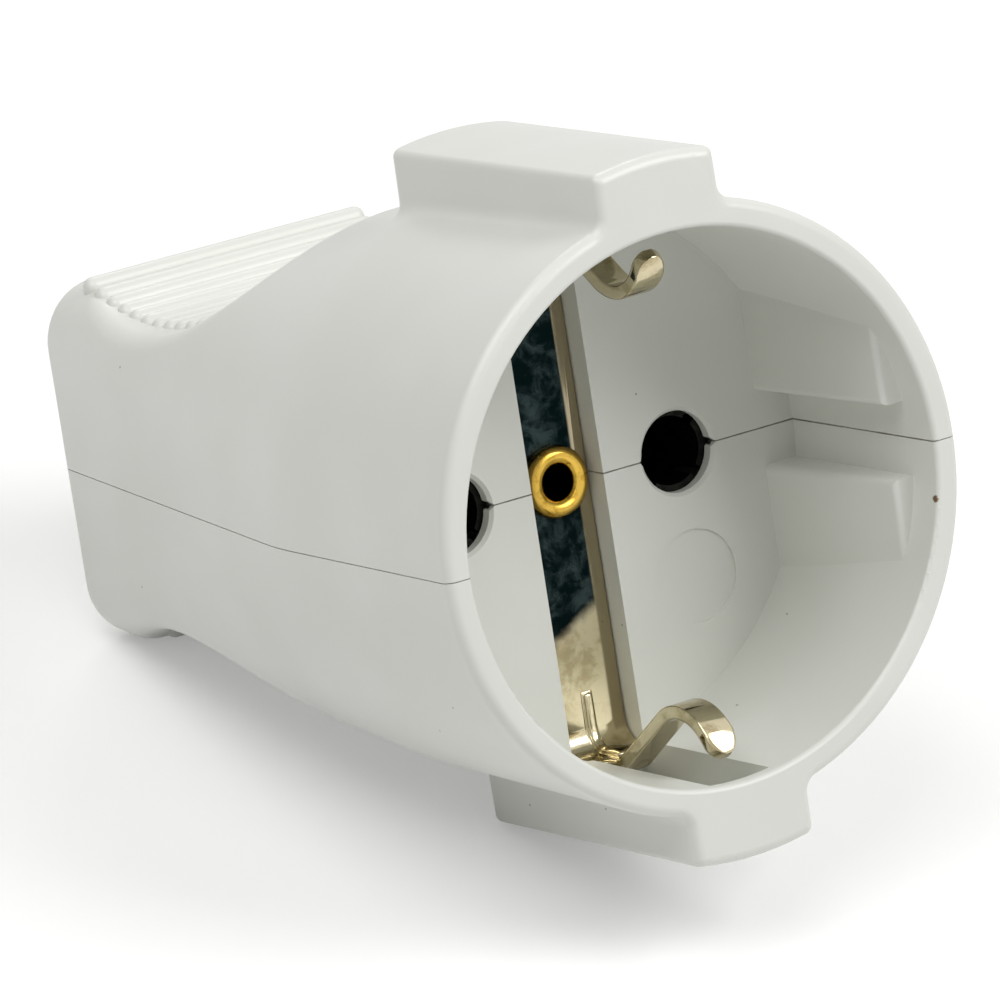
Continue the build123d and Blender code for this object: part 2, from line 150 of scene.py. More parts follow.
class Graph:
    """Adds nodes to one node tree and links them."""

    def __init__(self, tree: bpy.types.NodeTree) -> None:
        """Keep the tree that the nodes go into."""
        self.tree = tree

    def node(self, kind: str, values: dict[str, Any] | None = None, **settings: Any) -> bpy.types.Node:
        """Add one node.

        Args:
            kind: Blender's name for the node type.
            values: Default values of its input sockets, by socket name.
            settings: Properties of the node itself.

        Returns:
            The new node.
        """
        made = self.tree.nodes.new(kind)
        for name, value in settings.items():
            setattr(made, name, value)
        for name, value in (values or {}).items():
            made.inputs[name].default_value = value
        return made

    def join(self, source: NodeSocket, target: NodeSocket) -> None:
        """Link an output socket to an input socket."""
        self.tree.links.new(source, target)

    def math(self, operation: str, first: Any, second: Any = None, third: Any = None) -> NodeSocket:
        """Add a Math node.

        Args:
            operation: Name of the operation.
            first: First operand, a socket or a number.
            second: Second operand, where the operation has one.
            third: Third operand, where the operation has one.

        Returns:
            The result's socket.
        """
        made = self.node("ShaderNodeMath", operation=operation)
        for place, operand in enumerate((first, second, third)):
            if isinstance(operand, NodeSocket):
                self.join(operand, made.inputs[place])
            elif operand is not None:
                made.inputs[place].default_value = operand
        return made.outputs["Value"]

    def product(self, first: NodeSocket, *others: NodeSocket) -> NodeSocket:
        """Multiply several values.

        Args:
            first: Socket of the first value.
            others: Sockets of the other values.

        Returns:
            The result's socket.
        """
        result = first
        for other in others:
            result = self.math("MULTIPLY", result, other)
        return result

    def reach(self, across: NodeSocket, up: NodeSocket) -> NodeSocket:
        """Work out the distance from an axis.

        Args:
            across: Distance from the axis along X.
            up: Distance from the axis along Z.

        Returns:
            The result's socket.
        """
        square = self.math("MULTIPLY_ADD", across, across, self.math("MULTIPLY", up, up))
        return self.math("SQRT", square)

    def ramp(self, value: NodeSocket, low: float, high: float) -> NodeSocket:
        """Add a smooth step.

        Args:
            value: Socket that is read.
            low: Value at which the result is 0.
            high: Value at which the result is 1.

        Returns:
            The result's socket.
        """
        limits = {"From Min": low, "From Max": high}
        made = self.node("ShaderNodeMapRange", limits, interpolation_type="SMOOTHSTEP")
        self.join(value, made.inputs["Value"])
        return made.outputs["Result"]

    def above(self, value: NodeSocket, limit: float, soft: float) -> NodeSocket:
        """Add a mask of the values above a limit.

        Args:
            value: Socket that is read.
            limit: Value at which the mask is one half.
            soft: Distance on either side of the limit over which the mask changes.

        Returns:
            The mask's socket.
        """
        return self.ramp(value, limit - soft, limit + soft)

    def below(self, value: NodeSocket, limit: float, soft: float) -> NodeSocket:
        """Add a mask of the values below a limit.

        Args:
            value: Socket that is read.
            limit: Value at which the mask is one half.
            soft: Distance on either side of the limit over which the mask changes.

        Returns:
            The mask's socket.
        """
        return self.ramp(value, limit + soft, limit - soft)

    def tint(self, mask: NodeSocket, under: Any, over: Any) -> NodeSocket:
        """Add a colour mix.

        Args:
            mask: Socket with the share of the second colour.
            under: First colour, a socket or a plain colour.
            over: Second colour, a socket or a plain colour.

        Returns:
            The mixed colour's socket.
        """
        made = self.node("ShaderNodeMix", data_type="RGBA")
        self.join(mask, made.inputs["Factor"])
        colours = [s for s in made.inputs if s.type == "RGBA"]
        for place, colour in zip(colours, (under, over)):
            if isinstance(colour, NodeSocket):
                self.join(colour, place)
            else:
                place.default_value = (*colour, 1.0)
        return next(s for s in made.outputs if s.type == "RGBA")

    def background_mix(self, plain: NodeSocket, seen: NodeSocket) -> NodeSocket:
        """Mix two shaders by the kind of ray.

        Args:
            plain: Shader for the rays that carry light to the object.
            seen: Shader for the rays that see the white background.

        Returns:
            The mixed shader's socket.
        """
        rays = self.node("ShaderNodeLightPath")
        share = rays.outputs[Ray.CAMERA.value]
        for ray in (Ray.GLOSSY, Ray.TRANSMISSION):
            share = self.math("MAXIMUM", share, rays.outputs[ray.value])
        mixed = self.node("ShaderNodeMixShader")
        for place, source in enumerate((share, plain, seen)):
            self.join(source, mixed.inputs[place])
        return mixed.outputs["Shader"]

    def millimetres(self) -> NodeSocket:
        """Return Object coordinates in millimetres."""
        where = self.node("ShaderNodeTexCoord")
        scaled = self.node("ShaderNodeVectorMath", operation="SCALE")
        scaled.inputs["Scale"].default_value = 1.0 / MILLIMETRE
        self.join(where.outputs["Object"], scaled.inputs[0])
        return scaled.outputs["Vector"]

    def socket_place(self, axes: SocketAxes) -> dict[str, NodeSocket]:
        """Return the three socket coordinates in millimetres, by letter.

        Args:
            axes: Place and pitch of the socket.

        Returns:
            Sockets for X, Y and Z.
        """
        turned = self.node("ShaderNodeMapping", vector_type="POINT")
        turned.inputs["Rotation"].default_value = (axes.pitch, 0.0, 0.0)
        turned.inputs["Location"].default_value = axes.shift() / MILLIMETRE
        self.join(self.millimetres(), turned.inputs["Vector"])
        parts = self.node("ShaderNodeSeparateXYZ")
        self.join(turned.outputs["Vector"], parts.inputs["Vector"])
        return {letter: parts.outputs[letter] for letter in "XYZ"}


class SurfaceGroups:
    """Shader node groups that several finishes share, with lengths in millimetres."""

    TONE_LOW = 0.3
    TONE_HIGH = 0.7
    SPECK_LEAST = 0.55
    SPECK_SWELL = 0.9
    SPECK_CORE = 0.6
    SPECK_EDGE = 1.1

    def __init__(self) -> None:
        """Build each group once."""
        self.grain = self._grain()
        self.speck = self._speck()
        self.patina = self._patina()

    @staticmethod
    def _start(
        name: str, inputs: dict[str, tuple[str, Any]], outputs: list[str]
    ) -> tuple[Graph, bpy.types.Node, bpy.types.Node]:
        """Open a new group with its sockets.

        Args:
            name: Name of the group.
            inputs: Socket kind and default value of each input, by name.
            outputs: Names of the outputs, all plain values.

        Returns:
            The group's graph, its input node and its output node.
        """
        tree = bpy.data.node_groups.new(name, "ShaderNodeTree")
        for socket, (kind, value) in inputs.items():
            made = tree.interface.new_socket(socket, in_out="INPUT", socket_type=kind)
            made.default_value = value
        for socket in outputs:
            tree.interface.new_socket(socket, in_out="OUTPUT", socket_type="NodeSocketFloat")
        graph = Graph(tree)
        return graph, graph.node("NodeGroupInput"), graph.node("NodeGroupOutput")

    def _grain(self) -> bpy.types.NodeTree:
        """Return a group with the fine height of a surface and its slow change of tone."""
        graph, given, out = self._start(
            "surface_grain",
            {"Grain Scale": ("NodeSocketFloat", 4.0), "Tone Scale": ("NodeSocketFloat", 0.08)},
            ["Height", "Tone"],
        )
        where = graph.millimetres()
        fine = graph.node("ShaderNodeTexNoise", {"Detail": 3.0, "Roughness": 0.55})
        broad = graph.node("ShaderNodeTexNoise", {"Detail": 2.0, "Roughness": 0.5})
        for noise, scale in ((fine, "Grain Scale"), (broad, "Tone Scale")):
            graph.join(where, noise.inputs["Vector"])
            graph.join(given.outputs[scale], noise.inputs["Scale"])
        tone = graph.ramp(broad.outputs["Fac"], self.TONE_LOW, self.TONE_HIGH)
        graph.join(fine.outputs["Fac"], out.inputs["Height"])
        graph.join(tone, out.inputs["Tone"])
        return graph.tree

    def _speck(self) -> bpy.types.NodeTree:
        """Return a group with the mask of one small, ragged spot of dirt."""
        graph, given, out = self._start(
            "dirt_speck",
            {"Centre": ("NodeSocketVector", (0.0, 0.0, 0.0)), "Radius": ("NodeSocketFloat", 0.3)},
            ["Mask"],
        )
        where = graph.millimetres()
        gap = graph.node("ShaderNodeVectorMath", operation="DISTANCE")
        graph.join(where, gap.inputs[0])
        graph.join(given.outputs["Centre"], gap.inputs[1])
        ragged = graph.node("ShaderNodeTexNoise", {"Scale": 5.0, "Detail": 2.0})
        graph.join(where, ragged.inputs["Vector"])
        swell = graph.math("MULTIPLY_ADD", ragged.outputs["Fac"], self.SPECK_SWELL, self.SPECK_LEAST)
        edge = graph.math("MULTIPLY", given.outputs["Radius"], swell)
        share = graph.math("DIVIDE", gap.outputs["Value"], edge)
        graph.join(graph.ramp(share, self.SPECK_EDGE, self.SPECK_CORE), out.inputs["Mask"])
        return graph.tree

    def _patina(self) -> bpy.types.NodeTree:
        """Return a group with the mask of mottled tarnish."""
        graph, given, out = self._start(
            "patina",
            {
                "Scale": ("NodeSocketFloat", 0.8),
                "Level": ("NodeSocketFloat", 0.5),
                "Softness": ("NodeSocketFloat", 0.09),
            },
            ["Mask"],
        )
        noise = graph.node("ShaderNodeTexNoise", {"Detail": 6.0, "Roughness": 0.65, "Distortion": 0.4})
        graph.join(graph.millimetres(), noise.inputs["Vector"])
        graph.join(given.outputs["Scale"], noise.inputs["Scale"])
        over = graph.math("SUBTRACT", noise.outputs["Fac"], given.outputs["Level"])
        share = graph.math("DIVIDE", over, given.outputs["Softness"])
        graph.join(graph.ramp(share, -1.0, 1.0), out.inputs["Mask"])
        return graph.tree


class Finish:
    """A named surface finish with one material."""

    def __init__(self, name: str, groups: SurfaceGroups) -> None:
        """Start the material.

        Args:
            name: Name of the material.
            groups: Shared shader groups.
        """
        self.groups = groups
        self.material = bpy.data.materials.new(name)
        self.material.use_nodes = True
        self.material.node_tree.nodes.clear()
        self.graph = Graph(self.material.node_tree)
        self.shader = self.graph.node("ShaderNodeBsdfPrincipled")
        out = self.graph.node("ShaderNodeOutputMaterial")
        self.graph.join(self.shader.outputs["BSDF"], out.inputs["Surface"])

    def place(self, group: bpy.types.NodeTree, values: dict[str, Any]) -> bpy.types.Node:
        """Place a shared group in the material.

        Args:
            group: The shared group.
            values: Values of its inputs, by name.

        Returns:
            The group node.
        """
        return self.graph.node("ShaderNodeGroup", values, node_tree=group)

    def bump(self, height: NodeSocket, strength: float, distance: float) -> None:
        """Raise the surface by a height map.

        Args:
            height: Height from 0 to 1.
            strength: Share of the effect.
            distance: Depth in metres that a height of 1 stands for.
        """
        made = self.graph.node("ShaderNodeBump", {"Strength": strength, "Distance": distance})
        self.graph.join(height, made.inputs["Height"])
        self.graph.join(made.outputs["Normal"], self.shader.inputs["Normal"])

    def colour(self, source: NodeSocket) -> None:
        """Link the base colour."""
        self.graph.join(source, self.shader.inputs["Base Color"])

    def roughness(self, mask: NodeSocket, low: float, high: float) -> None:
        """Let the roughness follow a mask.

        Args:
            mask: Value from 0 to 1.
            low: Roughness where the mask is 0.
            high: Roughness where the mask is 1.
        """
        made = self.graph.node("ShaderNodeMapRange", {"To Min": low, "To Max": high})
        self.graph.join(mask, made.inputs["Value"])
        self.graph.join(made.outputs["Result"], self.shader.inputs["Roughness"])

    def metallic(self) -> None:
        """Make the surface a metal."""
        self.shader.inputs["Metallic"].default_value = 1.0


@dataclass(frozen=True)
class Speck:
    """One small spot of dirt on the plastic, in millimetres in the row frame."""

    centre: Point
    radius: float
    colour: Colour


@dataclass(frozen=True)
class PlasticTones:
    """Colours, wear and painted bore shade of the moulded plastic, lengths in millimetres in socket
    coordinates.

    The depth of the grain alone is in metres, as the shader takes it.
    """

    clean: Colour = (0.80, 0.81, 0.77)
    dull: Colour = (0.77, 0.78, 0.735)
    smooth: float = 0.29
    rough: float = 0.36
    grain_scale: float = 3.2
    tone_scale: float = 0.07
    grain_strength: float = 0.12
    grain_depth: float = 0.00004
    limit_soft: float = 0.1
    seam_dirt: Colour = (0.42, 0.40, 0.34)
    seam_core: float = 0.04
    seam_reach: float = 0.10
    streak_scale: float = 0.25
    streak_level: float = 0.5
    streak_least: float = 0.3
    streak_gain: float = 0.5
    well_radius: float = 19.75
    well_soft: float = 0.05
    well_floor: float = 18.5
    # Painted shade: near-black plastic round the sleeves stands for the shadow in the bores.
    bore_painted_shade_colour: Colour = (0.03, 0.03, 0.028)
    bore_offset: float = 9.5
    bore_radius: float = 3.05
    bore_soft: float = 0.04
    bore_end: float = 3.7
    bore_depth: float = 18.0
    bore_bottom: float = 36.0
    specks: tuple[Speck, ...] = (
        Speck((19.07, -29.61, 27.70), 0.30, (0.16, 0.09, 0.03)),
        Speck((-15.79, 21.85, 25.60), 0.11, (0.36, 0.35, 0.31)),
        Speck((-16.07, 18.35, 9.37), 0.11, (0.38, 0.38, 0.34)),
        Speck((14.64, -18.74, 15.05), 0.10, (0.34, 0.34, 0.30)),
        Speck((8.16, -21.93, 10.99), 0.13, (0.40, 0.39, 0.34)),
        Speck((6.75, -10.55, 31.12), 0.08, (0.30, 0.30, 0.27)),
        Speck((3.06, -14.81, 15.64), 0.09, (0.32, 0.30, 0.24)),
        Speck((-18.84, -25.73, 20.14), 0.11, (0.36, 0.35, 0.31)),
        Speck((-16.87, -21.34, 15.79), 0.10, (0.38, 0.37, 0.33)),
        Speck((-5.04, -15.55, 3.83), 0.10, (0.34, 0.34, 0.30)),
        Speck((-5.06, -24.84, 7.82), 0.10, (0.34, 0.34, 0.30)),
    )


class MouldedPlastic(Finish):
    """Off-white semi-gloss plastic: fine grain, dirt in the well's seam, painted shade in the bores, a few
    specks.
    """

    def __init__(self, groups: SurfaceGroups, axes: SocketAxes, tones: PlasticTones) -> None:
        """Build the material.

        Args:
            groups: Shared shader groups.
            axes: Place and pitch of the socket.
            tones: Colours and wear.
        """
        super().__init__("moulded_white_plastic", groups)
        graph = self.graph
        where = graph.socket_place(axes)
        scales = {"Grain Scale": tones.grain_scale, "Tone Scale": tones.tone_scale}
        grain = self.place(groups.grain, scales)
        shade = graph.tint(grain.outputs["Tone"], tones.clean, tones.dull)
        # Painted shade: the bores round the sleeves are darkened as if they lay in shadow.
        shade = graph.tint(self.painted_bore_shade_mask(where, tones), shade, tones.bore_painted_shade_colour)
        shade = graph.tint(self.well_seam(where, tones), shade, tones.seam_dirt)
        for speck in tones.specks:
            spot = self.place(groups.speck, {"Centre": speck.centre, "Radius": speck.radius})
            shade = graph.tint(spot.outputs["Mask"], shade, speck.colour)
        self.colour(shade)
        self.roughness(grain.outputs["Tone"], tones.smooth, tones.rough)
        self.bump(grain.outputs["Height"], tones.grain_strength, tones.grain_depth)

    def painted_bore_shade_mask(self, where: dict[str, NodeSocket], tones: PlasticTones) -> NodeSocket:
        """Return the mask of painted shade on the bores round the two sleeves, which stands for their
        shadow.

        Args:
            where: Socket coordinates in millimetres.
            tones: Place and size of the bores.

        Returns:
            The mask's socket.
        """
        graph = self.graph
        side = graph.math("SUBTRACT", graph.math("ABSOLUTE", where["X"]), tones.bore_offset)
        reach = graph.reach(side, where["Z"])
        return graph.product(
            graph.above(reach, tones.bore_radius, tones.bore_soft),
            graph.below(reach, tones.bore_end, tones.limit_soft),
            graph.above(where["Y"], tones.bore_depth, tones.limit_soft),
            graph.below(where["Y"], tones.bore_bottom, tones.limit_soft),
        )

    def well_seam(self, where: dict[str, NodeSocket], tones: PlasticTones) -> NodeSocket:
        """Return the mask of the streaks of dirt along the seam inside the well.

        Args:
            where: Socket coordinates in millimetres.
            tones: Place and strength of the dirt.

        Returns:
            The mask's socket.
        """
        graph = self.graph
        streaky = {"Scale": tones.streak_scale, "Level": tones.streak_level}
        streaks = self.place(self.groups.patina, streaky)
        return graph.product(
            graph.ramp(graph.math("ABSOLUTE", where["Z"]), tones.seam_reach, tones.seam_core),
            graph.below(graph.math("ABSOLUTE", where["X"]), tones.well_radius, tones.well_soft),
            graph.below(where["Y"], tones.well_floor, tones.limit_soft),
            graph.math("MULTIPLY_ADD", streaks.outputs["Mask"], tones.streak_gain, tones.streak_least),
        )


@dataclass(frozen=True)
class PlateTones:
    """Colours and limits of the plated strap and its painted reflections, lengths in millimetres in socket
    coordinates.

    The depth of the waves alone is in metres, as the shader takes it.
    """

    bright: Colour = (0.62, 0.55, 0.37)
    worn: Colour = (0.44, 0.37, 0.22)
    # Painted reflection: the tan strip along the web's right edge stands for the channel wall mirrored in
    # the plate.
    edge: Colour = (0.42, 0.36, 0.24)
    # Tarnish together with a painted dark reflection of the surroundings on the web.
    tarnish: Colour = (0.002, 0.006, 0.006)
    haze: Colour = (0.034, 0.052, 0.052)
    smooth: float = 0.12
    rough: float = 0.42
    wear_scale: float = 0.45
    wear_level: float = 0.56
    bloom_scale: float = 0.6
    bloom_level: float = 0.55
    bloom_soft: float = 0.15
    wave_scale: float = 0.9
    wave_strength: float = 0.15
    wave_depth: float = 0.00003
    web_depth: float = 19.15
    web_soft: float = 0.1
    # Where the painted reflection of the channel wall starts across the web.
    wall_reflection_edge: float = 1.9
    wall_reflection_soft: float = 0.12
    # The slanted limit of the black follows the mirrored rim: the black is tarnish and a painted dark
    # reflection.
    tarnish_and_reflection_end: float = -9.9
    tarnish_and_reflection_slope: float = 0.55
    tarnish_and_reflection_soft: float = 0.7


class PlateWithTarnishAndPaintedReflection(Finish):
    """Nickel plate: bright clips; web nearly black with hazy blooms, from tarnish plus a painted dark
    reflection.
    """

    def __init__(self, groups: SurfaceGroups, axes: SocketAxes, tones: PlateTones) -> None:
        """Build the material.

        Args:
            groups: Shared shader groups.
            axes: Place and pitch of the socket.
            tones: Colours and limits.
        """
        super().__init__("plate_tarnish_and_painted_reflection", groups)
        graph = self.graph
        where = graph.socket_place(axes)
        wear = self.place(groups.patina, {"Scale": tones.wear_scale, "Level": tones.wear_level})
        bloom = self.place(
            groups.patina,
            {"Scale": tones.bloom_scale, "Level": tones.bloom_level, "Softness": tones.bloom_soft},
        )
        waves = self.place(groups.grain, {"Grain Scale": tones.wave_scale})
        # Painted dark reflection and tarnish: a slanted, ragged limit where the black of the web starts.
        slanted = graph.math("MULTIPLY_ADD", where["X"], -tones.tarnish_and_reflection_slope, where["Z"])
        ragged = graph.math("ADD", slanted, waves.outputs["Height"])
        dark = graph.above(ragged, tones.tarnish_and_reflection_end, tones.tarnish_and_reflection_soft)
        web = graph.above(where["Y"], tones.web_depth, tones.web_soft)
        # Painted reflection of the channel wall along the web's right edge, kept free of the black.
        wall_reflection_band = graph.above(where["X"], tones.wall_reflection_edge, tones.wall_reflection_soft)
        tarnish_and_reflection_mask = graph.product(dark, web, graph.math("SUBTRACT", 1.0, wall_reflection_band))
        plate = graph.tint(wear.outputs["Mask"], tones.bright, tones.worn)
        plate = graph.tint(graph.product(wall_reflection_band, web), plate, tones.edge)
        # The black of the web is tarnish plus a painted dark reflection, with hazy blooms on it.
        black = graph.tint(bloom.outputs["Mask"], tones.tarnish, tones.haze)
        self.colour(graph.tint(tarnish_and_reflection_mask, plate, black))
        self.metallic()
        self.roughness(graph.product(tarnish_and_reflection_mask, bloom.outputs["Mask"]), tones.smooth, tones.rough)
        self.bump(waves.outputs["Height"], tones.wave_strength, tones.wave_depth)


@dataclass(frozen=True)
class MetalTones:
    """Colours of a plain metal finish."""

    name: str
    bright: Colour
    dark: Colour
    smooth: float
    rough: float
    level: float = 0.5


GILT = MetalTones(
    name="gilt_eyelet",
    bright=(0.72, 0.46, 0.08),
    dark=(0.50, 0.30, 0.04),
    smooth=0.16,
    rough=0.28,
    level=0.58,
)
# Painted shade: brass made near black so that the sleeves in the pin holes read as shadow.
BRASS_PAINTED_SHADE = MetalTones(
    name="brass_painted_shade",
    bright=(0.022, 0.022, 0.018),
    dark=(0.012, 0.013, 0.012),
    smooth=0.4,
    rough=0.55,
)
BLUED_STEEL = MetalTones(
    name="blued_steel",
    bright=(0.02, 0.024, 0.03),
    dark=(0.012, 0.014, 0.018),
    smooth=0.35,
    rough=0.5,
)
ZINC_STEEL = MetalTones(
    name="zinc_steel",
    bright=(0.60, 0.60, 0.60),
    dark=(0.42, 0.42, 0.40),
    smooth=0.28,
    rough=0.42,
)


class PlainMetal(Finish):
    """Metal with a light patina and a fine grain."""

    GRAIN_SCALE = 6.0
    TONE_SCALE = 0.6
    GRAIN_STRENGTH = 0.12
    GRAIN_DEPTH = 0.00002
    PATINA_SCALE = 1.1

    def __init__(self, groups: SurfaceGroups, tones: MetalTones) -> None:
        """Build the material.

        Args:
            groups: Shared shader groups.
            tones: Colours and roughness.
        """
        super().__init__(tones.name, groups)
        grain = self.place(groups.grain, {"Grain Scale": self.GRAIN_SCALE, "Tone Scale": self.TONE_SCALE})
        self.colour(self.shade(tones))
        self.metallic()
        self.roughness(grain.outputs["Tone"], tones.smooth, tones.rough)
        self.bump(grain.outputs["Height"], self.GRAIN_STRENGTH, self.GRAIN_DEPTH)

    def shade(self, tones: MetalTones) -> NodeSocket:
        """Return the metal's colour, darker where the patina lies.

        Args:
            tones: Colours of the metal.

        Returns:
            The colour's socket.
        """
        patina = self.place(self.groups.patina, {"Scale": self.PATINA_SCALE, "Level": tones.level})
        return self.graph.tint(patina.outputs["Mask"], tones.bright, tones.dark)


class GiltEyelet(PlainMetal):
    """Gilt metal of the eyelet, bright on the rolled crest, browner outside it and painted black in the bore
    as shade.
    """

    BORE_EDGE = 1.31
    BORE_SOFT = 0.05
    CREST_RADIUS = 1.9
    OUTER_RADIUS = 2.6
    # Painted shade: the black stands for the shadow inside the eyelet's bore.
    BORE_PAINTED_SHADE: Colour = (0.01, 0.01, 0.01)
    BROWN: Colour = (0.30, 0.19, 0.04)

    def __init__(self, groups: SurfaceGroups, axes: SocketAxes, tones: MetalTones) -> None:
        """Build the material.

        Args:
            groups: Shared shader groups.
            axes: Place and pitch of the socket.
            tones: Colours and roughness.
        """
        self.axes = axes
        super().__init__(groups, tones)

    def shade(self, tones: MetalTones) -> NodeSocket:
        """Return the gilt colour, which changes with the distance from the eyelet's axis.

        Args:
            tones: Colours of the metal.

        Returns:
            The colour's socket.
        """
        graph = self.graph
        where = graph.socket_place(self.axes)
        reach = graph.reach(where["X"], where["Z"])
        outside = graph.ramp(reach, self.CREST_RADIUS, self.OUTER_RADIUS)
        browned = graph.tint(outside, super().shade(tones), self.BROWN)
        # Painted shade: the bore is painted black as if it lay in shadow.
        return graph.tint(graph.below(reach, self.BORE_EDGE, self.BORE_SOFT), browned, self.BORE_PAINTED_SHADE)


@dataclass
class Assembly:
    """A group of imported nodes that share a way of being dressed."""

    nodes: dict[str, bpy.types.Object]
    edge_angle: float = math.radians(24.0)
    merge_reach: float = 0.000001

    def smooth_copy(self, node: str) -> bpy.types.Object:
        """Make a merged copy of a node with smooth faces and sharp corners.

        Args:
            node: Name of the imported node.

        Returns:
            The copy, which stands for the node.
        """
        shape = bmesh.new()
        shape.from_mesh(self.nodes[node].data)
        bmesh.ops.remove_doubles(shape, verts=shape.verts, dist=self.merge_reach)
        bmesh.ops.dissolve_degenerate(shape, edges=shape.edges, dist=self.merge_reach)
        for face in shape.faces:
            face.smooth = True
        for edge in shape.edges:
            edge.smooth = edge.calc_face_angle(math.pi) < self.edge_angle
        mesh = bpy.data.meshes.new(f"{node}_surface")
        shape.to_mesh(mesh)
        shape.free()
        piece = add_object(f"{node}_surface", mesh)
        weighted = piece.modifiers.new("even_shading", "WEIGHTED_NORMAL")
        weighted.keep_sharp = True
        return piece

    def dress(self, node: str, finish: Finish, slot: Slot) -> bpy.types.Object:
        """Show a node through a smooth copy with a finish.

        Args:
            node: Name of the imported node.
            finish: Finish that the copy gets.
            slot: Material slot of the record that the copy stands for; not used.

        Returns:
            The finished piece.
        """
        piece = self.smooth_copy(node)
        piece.data.materials.append(finish.material)
        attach(piece, ROOT_BODY)
        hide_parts(node)
        LOG.info("%s: %d faces", piece.name, len(piece.data.polygons))
        return piece


@dataclass
class Housing(Assembly):
    """The two moulded halves, their screw and the cable clamp."""

    def build(self, plastic: Finish, steel: Finish) -> None:
        """Dress the halves and what holds them.

        Args:
            plastic: Finish of the moulded pieces.
            steel: Finish of the screws.
        """
        for node in ("upper_shell", "lower_shell", "cable_clamp"):
            self.dress(node, plastic, Slot.PLASTIC)
        for node in ("shell_screw", "clamp_screws"):
            self.dress(node, steel, Slot.STEEL)


@dataclass
class EarthPath(Assembly):
    """The earth strap with its clips, the eyelet and the earth terminal.

    The sizes of the strap's edges and tips are in millimetres in socket coordinates.
    """

    strip_round: float = 0.22
    corner_angle: float = math.radians(50.0)
    tip_depth: float = 2.2
    tip_reach: float = 18.0
    tip_lean: float = math.radians(59.54)
    tip_zone: float = 2.6
    tip_radius: float = 1.2
    tip_flat: float = 0.3
    tip_cuts: tuple[float, ...] = (0.12, 0.3, 0.55, 0.8, 1.05)
    cut_snap: float = 0.02

    def round_edges(self, shape: bmesh.types.BMesh) -> None:
        """Round the stamped edges of the strip.

        Args:
            shape: The strap, in millimetres in socket coordinates.
        """
        corners = [edge for edge in shape.edges if edge.calc_face_angle(0.0) > self.corner_angle]
        bmesh.ops.bevel(
            shape,
            geom=corners,
            affect="EDGES",
            offset=self.strip_round,
            offset_type="OFFSET",
            segments=3,
            profile=0.5,
            clamp_overlap=True,
            material=-1,
        )
        for edge in shape.edges:
            edge.smooth = True

    def round_tip(self, shape: bmesh.types.BMesh, side: float) -> None:
        """Round the free end of one clip in the plane of the strip.

        Args:
            shape: The strap, in millimetres in socket coordinates.
            side: 1 for the upper clip and -1 for the lower one.
        """
        end = Vector((0.0, self.tip_depth, side * self.tip_reach))
        back = Vector((0.0, math.cos(self.tip_lean), -side * math.sin(self.tip_lean)))
        for cut in self.tip_cuts:
            faces = [f for f in shape.faces if all((v.co - end).length < self.tip_zone for v in f.verts)]
            edges = {edge for face in faces for edge in face.edges}
            verts = {vert for face in faces for vert in face.verts}
            bmesh.ops.bisect_plane(
                shape,
                geom=[*verts, *edges, *faces],
                dist=self.cut_snap,
                plane_co=end + cut * back,
                plane_no=back,
            )
        for vert in shape.verts:
            along = back.dot(vert.co - end)
            if (vert.co - end).length < self.tip_zone and along < self.tip_radius:
                missing = 1.0 - max(along, 0.0) / self.tip_radius
                vert.co.x *= max(self.tip_flat, math.sqrt(1.0 - missing**2))

    def smooth_strip(self, piece: bpy.types.Object, axes: SocketAxes) -> None:
        """Give the strap the soft edges and round clip ends of a stamped strip.

        Args:
            piece: The strap's copy.
            axes: Place and pitch of the socket.
        """
        shape = bmesh.new()
        shape.from_mesh(piece.data)
        shape.transform(axes.to_socket())
        # The edges come first, because the short edges of the tip cuts would hold the bevel back.
        self.round_edges(shape)
        for side in (-1.0, 1.0):
            self.round_tip(shape, side)
        shape.transform(axes.to_socket().inverted())
        shape.to_mesh(piece.data)
        shape.free()

    def build(self, axes: SocketAxes, plate: Finish, eyelet: Finish, brass: Finish, steel: Finish) -> None:
        """Dress the earth pieces.

        Args:
            axes: Place and pitch of the socket.
            plate: Finish of the strap.
            eyelet: Finish of the eyelet.
            brass: Finish of the terminal.
            steel: Finish of the screw.
        """
        strap = self.dress("earth_strap", plate, Slot.STRAP)
        self.smooth_strip(strap, axes)
        self.dress("earth_rivet", eyelet, Slot.BRASS)
        self.dress("earth_terminal", brass, Slot.BRASS)
        self.dress("earth_terminal_screw", steel, Slot.STEEL)


@dataclass
class LineContacts(Assembly):
    """The two slit sleeves with their spring rings and wire screws."""

    def build(self, brass: Finish, blued: Finish, steel: Finish) -> None:
        """Dress the contacts of both sides.

        Args:
            brass: Finish of the sleeves, painted near black as the shade in the pin holes.
            blued: Finish of the spring rings.
            steel: Finish of the screws.
        """
        for side in ("left", "right"):
            self.dress(f"{side}_contact", brass, Slot.BRASS)
            self.dress(f"{side}_contact_spring", blued, Slot.STEEL)
            self.dress(f"{side}_terminal_screw", steel, Slot.STEEL)


@dataclass(frozen=True)
class Softbox:
    """One square studio lamp, lengths in metres and angles in degrees round the object."""

    name: str
    azimuth: float
    elevation: float
    distance: float
    size: float
    watts: float


